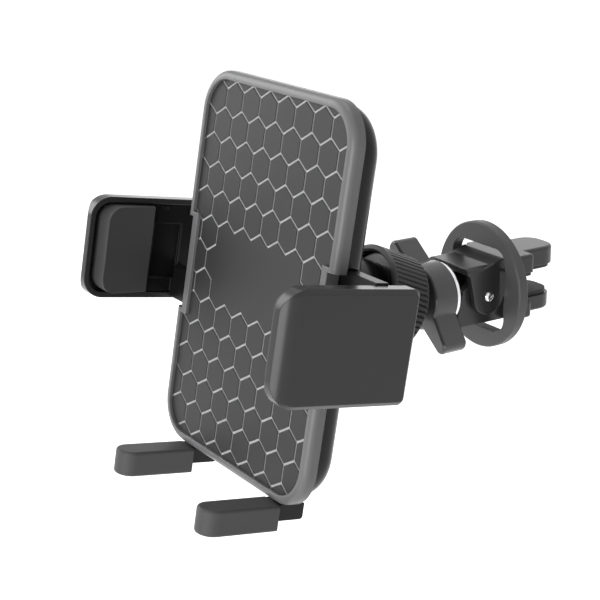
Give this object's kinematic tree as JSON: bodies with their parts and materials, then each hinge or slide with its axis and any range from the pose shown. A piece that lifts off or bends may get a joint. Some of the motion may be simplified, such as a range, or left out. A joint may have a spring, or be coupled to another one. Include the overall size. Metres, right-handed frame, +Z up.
{
  "type": "air vent phone holder",
  "caption": "Phone cradle with sliding side jaws and feet and a honeycomb grip pad, on a ball joint with a knurled collar, held to an air vent blade by a screw clamp with a wing nut.",
  "frame": {"origin": "middle of the slot between the clamp's two jaws, where the vent blade sits", "axes": "+Y along the clamp into the vent, +X to the right of someone facing the phone, +Z up"},
  "size_m": [0.094, 0.1176, 0.0978],
  "materials": {
    "bezel_plastic": "satin moulded",
    "housing_plastic": "polished moulded",
    "pad_rubber": "soft matte",
    "jaw_plastic": "polished moulded",
    "jaw_rubber": "soft matte",
    "arm_plastic": "plain moulded",
    "foot_plastic": "plain moulded",
    "foot_rubber": "soft matte",
    "gear_plastic": "natural acetal",
    "socket_plastic": "polished moulded",
    "liner_plastic": "plain moulded",
    "collar_plastic": "satin moulded",
    "ball_plastic": "satin moulded",
    "clamp_plastic": "satin moulded",
    "nut_plastic": "satin moulded",
    "ring_plastic": "satin moulded",
    "clamp_rubber": "soft matte",
    "bright_steel": "plated",
    "screw_steel": "blackened"
  },
  "bodies": {
    "mount": {"clamp_bracket": "clamp_plastic", "upper_jaw_liner": "clamp_rubber", "hinge_pin": "bright_steel", "stop_ring": "ring_plastic", "ball_stud": "clamp_plastic"},
    "clamp_lever": {"lower_jaw": "clamp_plastic", "lower_jaw_liner": "clamp_rubber"},
    "washer": {"thrust_washer": "bright_steel"},
    "nut": {"wing_nut": "nut_plastic"},
    "ball": {"ball": "ball_plastic"},
    "liner": {"socket_liner": "liner_plastic"},
    "cradle": {"front_bezel": "bezel_plastic", "grip_pad": "pad_rubber", "back_housing": "housing_plastic", "ball_socket": "socket_plastic", "housing_screw_1": "screw_steel", "housing_screw_2": "screw_steel", "housing_screw_3": "screw_steel", "housing_screw_4": "screw_steel"},
    "collar": {"collar_nut": "collar_plastic"},
    "gear": {"pinion": "gear_plastic"},
    "left_jaw": {"left_arm": "arm_plastic", "left_jaw_cover": "jaw_plastic", "left_jaw_pad": "jaw_rubber"},
    "right_jaw": {"right_arm": "arm_plastic", "right_jaw_cover": "jaw_plastic", "right_jaw_pad": "jaw_rubber"},
    "left_support": {"left_foot": "foot_plastic", "left_foot_cap": "foot_rubber"},
    "right_support": {"right_foot": "foot_plastic", "right_foot_cap": "foot_rubber"},
    "button": {"release_button": "arm_plastic"}
  },
  "joints": [
    {"name": "nut_turn", "type": "hinge", "parent": "washer", "child": "nut", "pos_m": [0, -0.045, 0], "axis": [0, 1, 0], "range_deg": [0, 522]},
    {"name": "nut_advance", "type": "slide", "parent": "mount", "child": "washer", "axis": [0, 1, 0], "range_m": [0, 0.00145]},
    {"name": "clamp_close", "type": "hinge", "parent": "mount", "child": "clamp_lever", "pos_m": [0, -0.0191, -0.0008], "axis": [1, 0, 0], "range_deg": [0, 12]},
    {"name": "ball_yaw", "type": "hinge", "parent": "mount", "child": "ball", "pos_m": [0, -0.045, 0], "axis": [0, 0, 1], "range_deg": [-15, 15]},
    {"name": "ball_pitch", "type": "hinge", "parent": "ball", "child": "liner", "pos_m": [0, -0.045, 0], "axis": [1, 0, 0], "range_deg": [-2, 42]},
    {"name": "cradle_spin", "type": "hinge", "parent": "liner", "child": "cradle", "pos_m": [0, -0.045, 0], "axis": [0, 0.9135, -0.4067], "continuous": true},
    {"name": "collar_turn", "type": "hinge", "parent": "cradle", "child": "collar", "pos_m": [0, -0.045, 0], "axis": [0, 0.9135, -0.4067], "range_deg": [0, 330]},
    {"name": "jaws_close", "type": "slide", "parent": "cradle", "child": "left_jaw", "axis": [1, 0, 0], "range_m": [0, 0.01]},
    {"name": "right_jaw_slide", "type": "slide", "parent": "cradle", "child": "right_jaw", "axis": [-1, 0, 0], "range_m": [0, 0.01]},
    {"name": "pinion_turn", "type": "hinge", "parent": "cradle", "child": "gear", "pos_m": [0, -0.07971, 0.00937], "axis": [0, 0.9851, -0.1719], "range_deg": [-120, 0]},
    {"name": "left_foot_slide", "type": "slide", "parent": "cradle", "child": "left_support", "axis": [0, -0.1719, -0.9851], "range_m": [0, 0.01]},
    {"name": "right_foot_slide", "type": "slide", "parent": "cradle", "child": "right_support", "axis": [0, -0.1719, -0.9851], "range_m": [0, 0.01]},
    {"name": "button_press", "type": "slide", "parent": "cradle", "child": "button", "axis": [1, 0, 0], "range_m": [0, 0.0015], "stiffness_N_per_m": 300, "springref_m": -0.002}
  ],
  "couplings": [
    {"joint": "nut_turn", "follows": "nut_advance", "rad_per_m": 6283.2},
    {"joint": "clamp_close", "follows": "nut_advance", "rad_per_m": 144.44},
    {"joint": "right_jaw_slide", "follows": "jaws_close", "ratio": 1},
    {"joint": "pinion_turn", "follows": "jaws_close", "rad_per_m": -208.33}
  ]
}
